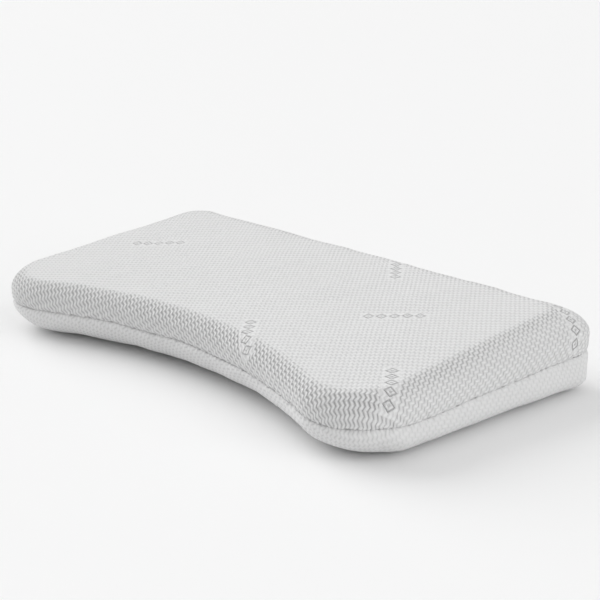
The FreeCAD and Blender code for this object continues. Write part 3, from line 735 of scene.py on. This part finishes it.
def satin(name, color):
    """Blank label satin: fine crosswise ribs and a low gloss."""
    k = Nodes(name)
    rib = k.wrapped(k.math("ADD", k.split(k.local())[2], 1.0), 0.25 * MM)
    # Painted shade: the satin is coloured darker in the grooves between its ribs.
    color_out = k.blend(rib, grey(color * 0.92), grey(color))
    return k.finish(color_out, 0.42, k.bump(rib, 0.06 * MM), sheen=0.1)


# ---------------------------------------------------------------- stage

FLOOR_SIZE = 120.0  # metres
WORLD_LIGHT, WORLD_SEEN = 0.43, 0.93  # the surroundings' brightness as light, and as a backdrop
SUNS = (  # name, the way to it, strength, and how many degrees wide
    ("left", (-1.0, -0.15, 0.6), 1.75, 55.0),
    ("above", (0.1, 0.1, 1.0), 0.51, 90.0),
    ("right", (1.0, 0.1, 0.5), 0.86, 55.0),
)
AZIMUTH, ELEVATION, LENS = 45.468, 18.039, 82.34  # degrees, degrees and mm
CAMERA_AWAY, AIM_HEIGHT, AIM_RIGHT, AIM_UP = 1.43415, 0.0454, 0.02966, 0.01244  # metres

def sun(name, towards, strength, spread):
    """A broad, even light from the direction given."""
    light = bpy.data.lights.new(name, "SUN")
    light.energy = strength
    light.angle = math.radians(spread)
    obj = bpy.data.objects.new(name, light)
    bpy.context.scene.collection.objects.link(obj)
    obj.rotation_euler = mathutils.Vector(towards).to_track_quat("Z", "Y").to_euler()


def build_stage():
    """Floor, world, lights and camera."""
    half = FLOOR_SIZE / 2 / MM
    corners = np.array([[-half, -half, 0], [half, -half, 0], [half, half, 0], [-half, half, 0]])
    floor_material = Nodes("floor").finish(grey(0.93), 0.9)
    floor = make_mesh("floor", corners, np.array([[0, 1, 2, 3]]), floor_material)

    world = bpy.data.worlds.new("studio")
    bpy.context.scene.world = world
    world.use_nodes = True
    background = world.node_tree.nodes["Background"]
    background.inputs["Color"].default_value = (1.0, 1.0, 1.0, 1.0)
    seen = world.node_tree.nodes.new("ShaderNodeLightPath")
    level = world.node_tree.nodes.new("ShaderNodeMix")
    level.inputs[2].default_value, level.inputs[3].default_value = WORLD_LIGHT, WORLD_SEEN
    world.node_tree.links.new(seen.outputs["Is Camera Ray"], level.inputs[0])
    world.node_tree.links.new(level.outputs[0], background.inputs["Strength"])
    for settings in SUNS:
        sun(*settings)

    scene = bpy.context.scene
    scene.view_settings.view_transform = "Standard"
    scene.view_settings.look = "None"
    azimuth, elevation = math.radians(AZIMUTH), math.radians(ELEVATION)
    back = mathutils.Vector((
        math.sin(azimuth) * math.cos(elevation),
        -math.cos(azimuth) * math.cos(elevation),
        math.sin(elevation),
    ))
    right = mathutils.Vector((math.cos(azimuth), math.sin(azimuth), 0.0))
    up = back.cross(right)
    camera_data = bpy.data.cameras.new("camera")
    camera = bpy.data.objects.new("camera", camera_data)
    scene.collection.objects.link(camera)
    target = mathutils.Vector((0.0, SHIFT_Y * MM, AIM_HEIGHT))
    camera.location = target + right * AIM_RIGHT + up * AIM_UP + back * CAMERA_AWAY
    turn = mathutils.Matrix((right, up, back)).transposed()
    camera.rotation_euler = turn.to_euler()
    camera_data.sensor_width = 36.0
    camera_data.lens = LENS
    camera_data.clip_start = 0.05
    camera_data.clip_end = 200.0
    scene.camera = camera


# ---------------------------------------------------------------- build

motif = motif_group()
knit = zigzag_knit("cover_knit", relief=1.25, color=0.85, valley_shade_color=0.60, motif=motif)
knit_lower = zigzag_knit("cover_knit_lower", relief=0.45, color=0.81, valley_shade_color=0.55, streak=0.9,
                         painted_shade_strength=0.5)
thread = thread_material("thread", 0.72)
tape_weave = woven_tape("zip_tape_weave", 0.80)
coil_nylon = nylon("zip_coil_nylon", 0.82)
stop_nylon = nylon("zip_stop_nylon", 0.84, 0.4)
enamel = painted_metal("zip_enamel", 0.82)
foam = foam_material("foam")
liner_cloth = jersey("liner_jersey", 0.85)
label_satin = satin("label_satin", 0.9)

build_stage()


def cover_panel(name, node, upper, rows, material):
    """One of the cover's two panels, with the cloth's own small unevenness."""
    points, cloth, open_and_shaded = panel_grid(upper, *rows)
    flat = points.reshape(-1, 3)
    normals = surface_normals(points).reshape(-1, 3) * (1.0 if upper else -1.0)
    calm = np.ones((sum(rows), COUNT))
    calm[:6] = 0.0  # the rows beside the seam
    lumps = 0.45 * ripple(flat, 31 + upper, 85.0) + 0.16 * ripple(flat, 41 + upper, 27.0)
    flat = flat + normals * (lumps * calm.reshape(-1))[:, None]
    flat[:, 2] = np.maximum(flat[:, 2], 0.0)
    faces = grid_faces(sum(rows), COUNT, not upper)
    obj = make_mesh(name, flat, faces, material, cloth, open_and_shaded)
    place(obj, "pillow", node)


def liner_panel(name, node, upper):
    """Half of the jersey liner, which lies close round the foam."""
    points, cloth, _ = panel_grid(upper, *INNER_ROWS, *LINER_INSETS, tuck=False)
    faces = grid_faces(sum(INNER_ROWS), COUNT, not upper)
    obj = make_mesh(name, points, faces, liner_cloth, cloth)
    place(obj, "pillow", node)


def foam_block():
    """The moulded foam as one closed skin, its two halves meeting at the mould line."""
    top, top_cloth, _ = panel_grid(True, *INNER_ROWS, *FOAM_INSETS, tuck=False)
    under, under_cloth, _ = panel_grid(False, *INNER_ROWS, *FOAM_INSETS, tuck=False)
    for half in (top, under):
        half[0, :, 2] = SEAM_Z
    points = np.concatenate([under[::-1], top[1:]])
    cloth = np.concatenate([under_cloth[::-1], top_cloth[1:]])
    obj = make_mesh("foam_block", points, grid_faces(len(points), COUNT, False), foam, cloth)
    place(obj, "pillow", "foam_core")


def node_box(node):
    """The two corners of a solid's box, in mm."""
    return [np.array(corner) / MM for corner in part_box(node)]


def along_plan(distance, inset=0.0):
    """Points, normals and the seam's height at distances round the plan from the front's middle."""
    closed = np.concatenate([ALONG, [AROUND]])
    at = np.mod(distance, AROUND)
    point = [np.interp(at, closed, np.append(PLAN[:, i], PLAN[0, i])) for i in range(2)]
    normal = [np.interp(at, closed, np.append(NORMAL[:, i], NORMAL[0, i])) for i in range(2)]
    height = np.interp(at, closed, np.append(SEAM_Z, SEAM_Z[0]))
    point, normal = np.stack(point, -1), np.stack(normal, -1)
    normal /= np.linalg.norm(normal, axis=-1)[..., None]
    return point - normal * inset, normal, height


STITCH_PART = np.linspace(-0.5, 0.5, 5)  # along one stitch
STITCH_SINK = (np.abs(STITCH_PART) * 2) ** 3  # 1 at its ends, which go down into the cloth
NEAR_BACK = 1.0  # closer than this to the back's face is on the back


def seam_stitches(name, node, pitch, length, inset, radius, gap_half):
    """Lockstitches lying in a seam, each dipping into the cloth at both ends.

    gap_half is half the length of the back that they leave free for the zip.
    """
    count = round(AROUND / pitch)
    start = (np.arange(count) + 0.5) * AROUND / count
    middle, _, _ = along_plan(start)
    if gap_half:
        beside_zip = (middle[:, 1] > BACK_FACE - NEAR_BACK) & (np.abs(middle[:, 0]) < gap_half)
        start = start[~beside_zip]
    at = start[:, None] + STITCH_PART * length
    point, normal, height = along_plan(at, inset)
    point = point - normal * (0.9 * STITCH_SINK)[None, :, None]
    lines = np.concatenate([point, height[..., None]], axis=-1)
    points, faces = tubes(lines, radius)
    obj = make_mesh(name, points, faces, thread)
    place(obj, "pillow", node)


def seam_allowance():
    """The overlocked edges of the two panels, standing inside the cover behind the seam."""
    half = 4.6
    rows = np.array([-half, -3.0, -1.2, 0.0, 1.2, 3.0, half])
    inset = 3.7 + 0.35 * np.sin(rows)
    wavy = 0.3 * wave(ALONG, 71, 18.0)
    points = np.empty((len(rows), COUNT, 3))
    for row, (up, inward) in enumerate(zip(rows, inset)):
        points[row, :, :2] = PLAN - NORMAL * (inward + wavy * abs(up) / half)[:, None]
        points[row, :, 2] = SEAM_Z + up
    cloth = np.stack([np.broadcast_to(ALONG, (len(rows), COUNT)),
                      np.broadcast_to(rows[:, None], (len(rows), COUNT))], axis=-1)
    faces = grid_faces(len(rows), COUNT, False)
    x, y = PLAN[faces[:, 0] % COUNT].T
    tape_end = node_box("zip_tape_upper")[1][0] + 2
    zipped = (y > BACK_FACE - NEAR_BACK) & (np.abs(x) < tape_end)
    obj = make_mesh("seam_allowance", points, faces[~zipped], knit_lower, cloth)
    place(obj, "pillow", "cover_seam_allowance")


# ---------------------------------------------------------------- zip

WIRE, COIL_PITCH, COIL_STEPS = 0.33, 2.0, 14  # radius, one turn's length, and points to a turn
HEAD_PAST = 0.62  # how far the coil's heads reach past the middle of the zip
TOP_PITCH, TOP_LENGTH = 3.2, 2.7  # of the topstitching
TACK_WIDTH, TACK_PITCH = 3.0, 0.55  # of the bars at the zip's ends
LABEL_THICK = 0.34  # from the label's front ply to its rear one


def zip_tape(name, node, upper):
    """One woven tape, with a fine beaded edge under the coil."""
    low, high = node_box(node)
    face = high[1]
    inner = low[2] if upper else high[2]
    away = 1.0 if upper else -1.0
    across = np.array([0.0, 0.3, 0.7, 1.1, 2.2, 4.5, 6.5, 9.0])
    bead = np.array([-0.35, 0.0, 0.0, -0.12, -0.12, -0.1, -0.1, -0.1])
    run = np.arange(low[0], high[0] + 0.1, 5.0)
    front = np.empty((len(across), len(run), 3))
    front[..., 0] = run
    front[..., 1] = (face + bead)[:, None]
    front[..., 2] = (inner + away * across)[:, None]
    behind = front.copy()
    behind[..., 1] = low[1]
    points = np.concatenate([front, behind[::-1]])
    rows, columns = points.shape[:2]
    index = np.arange(rows * columns).reshape(rows, columns)
    here = np.concatenate([index, index[:1]])
    quads = np.stack([here[:-1, :-1], here[:-1, 1:], here[1:, 1:], here[1:, :-1]], axis=-1)
    quads = quads.reshape(-1, 4)
    obj = make_mesh(name, points, quads[:, ::-1] if upper else quads, tape_weave)
    place(obj, "pillow", node)


def zip_coil(name, node, upper):
    """One row of the coil: a flattened spiral, its heads between those of the other row."""
    low, high = node_box(node)
    middle_y, deep = (low[1] + high[1]) / 2, (high[1] - low[1]) / 2 - WIRE
    outer = high[2] - WIRE if upper else low[2] + WIRE
    head = ZIP_Z - HEAD_PAST if upper else ZIP_Z + HEAD_PAST
    turns = int((high[0] - low[0] - 2 * WIRE) / COIL_PITCH) - 1
    angle = np.arange(turns * COIL_STEPS + 1) * 2 * np.pi / COIL_STEPS
    squeeze = np.sign(np.cos(angle)) * np.abs(np.cos(angle)) ** 0.6
    centre, half = (outer + head) / 2, (outer - head) / 2
    x = low[0] + WIRE + angle / (2 * np.pi) * COIL_PITCH + (0.0 if upper else COIL_PITCH / 2)
    y = middle_y + deep * np.sin(angle)
    z = centre + half * squeeze
    points, faces = tubes(np.stack([x, y, z], axis=1)[None], WIRE)
    obj = make_mesh(name, points, faces, coil_nylon)
    place(obj, "pillow", node)


def topstitching(name, node):
    """A row of lockstitches beside the zip, lying on the panel's folded edge."""
    low, high = node_box(node)
    middle = (low + high) / 2
    start = np.arange(low[0] + 2.0, high[0] - 1.0, TOP_PITCH)
    radius = 0.28
    lines = np.empty((len(start), len(STITCH_PART), 3))
    lines[..., 0] = start[:, None] + STITCH_PART * TOP_LENGTH
    off_edge = abs(middle[2] - ZIP_Z) - SLOT_REACH
    cloth_y = BACK_FACE - TUCK_DEPTH * math.exp(-off_edge / TUCK_WIDTH)
    lines[..., 1] = cloth_y + radius - 0.55 * STITCH_SINK
    lines[..., 2] = middle[2]
    points, faces = tubes(lines, radius)
    obj = make_mesh(name, points, faces, thread)
    place(obj, "pillow", node)


def bar_tacks():
    """Dense zigzag bars that close the ends of the zip's slot."""
    low, high = node_box("zip_bartacks")
    lines = []
    for left in (low[0], high[0] - TACK_WIDTH):
        ends = (left + 0.2, left + TACK_WIDTH - 0.2)
        for number, z in enumerate(np.arange(low[2] + 0.4, high[2] - 0.3, TACK_PITCH)):
            x = np.linspace(*(ends if number % 2 else ends[::-1]), 5)
            depth = TUCK_DEPTH * math.exp(-max(abs(z - ZIP_Z) - 0.6, 0.0) / 2.2) * 0.8
            y = BACK_FACE + 0.3 - depth + np.array([-0.5, 0.05, 0.12, 0.05, -0.5])
            lines.append(np.stack([x, y, np.linspace(z, z + 0.5, 5)], axis=1))
    points, faces = tubes(lines, 0.26)
    obj = make_mesh("bar_tacks", points, faces, thread)
    place(obj, "pillow", "zip_bartacks")


def care_label():
    """A blank satin loop, folded at its lower edge, with its two ends sewn into the seam."""
    low, high = node_box("care_label")
    drop = ZIP_Z - low[2]
    down = np.concatenate([np.linspace(0.0, drop - 1.0, 16),
                           drop - 1.0 + np.sin(np.linspace(0.3, 1.5, 5))])
    flare = 0.35 + 1.6 * smoothstep(down / drop) ** 1.5
    front = np.stack([BACK_FACE - 2.0 * np.exp(-down / 1.6) + flare + 0.35, ZIP_Z - down], axis=1)
    rear = front - np.array([LABEL_THICK, 0.0])
    loop = np.concatenate([front, rear[::-1]])
    run = np.linspace(low[0], high[0], 15)
    bend = 0.5 * np.sin((run - low[0]) / (high[0] - low[0]) * np.pi * 1.3)
    points = np.empty((len(loop), len(run), 3))
    points[..., 0] = run
    share = smoothstep((ZIP_Z - loop[:, 1]) / drop)[:, None]
    points[..., 1] = loop[:, 0][:, None] + bend * share
    points[..., 2] = loop[:, 1][:, None]
    index = np.arange(points.shape[0] * points.shape[1]).reshape(points.shape[:2])
    quads = np.stack([index[:-1, :-1], index[:-1, 1:], index[1:, 1:], index[1:, :-1]], axis=-1)
    obj = make_mesh("care_label_loop", points, quads.reshape(-1, 4), label_satin)
    place(obj, "pillow", "care_label")


cover_panel("cover_top", "cover_top_panel", True, TOP_ROWS, knit)
cover_panel("cover_bottom", "cover_bottom_panel", False, BOTTOM_ROWS, knit_lower)
liner_panel("liner_top", "liner_upper", True)
liner_panel("liner_bottom", "liner_lower", False)
foam_block()
seam_stitches("cover_seam_stitches", "cover_seam_thread", pitch=STITCH, length=4.6, inset=2.1,
              radius=0.36, gap_half=SLOT_HALF + 6)
seam_stitches("liner_seam_stitches", "liner_seam_thread", pitch=3.0, length=2.5, inset=6.1,
              radius=0.22, gap_half=0.0)
seam_allowance()
for side, is_upper in (("upper", True), ("lower", False)):
    zip_tape(f"tape_{side}", f"zip_tape_{side}", is_upper)
    zip_coil(f"coil_{side}", f"zip_coil_{side}", is_upper)
    topstitching(f"topstitching_{side}", f"zip_stitching_{side}")
bar_tacks()
care_label()
for node, material in (
    ("zip_slider", enamel),
    ("zip_pull_tab", enamel),
    ("zip_top_stops", stop_nylon),
    ("zip_bottom_stop", stop_nylon),
):
    for material_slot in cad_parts[node].material_slots:
        material_slot.link = "OBJECT"
        material_slot.material = material
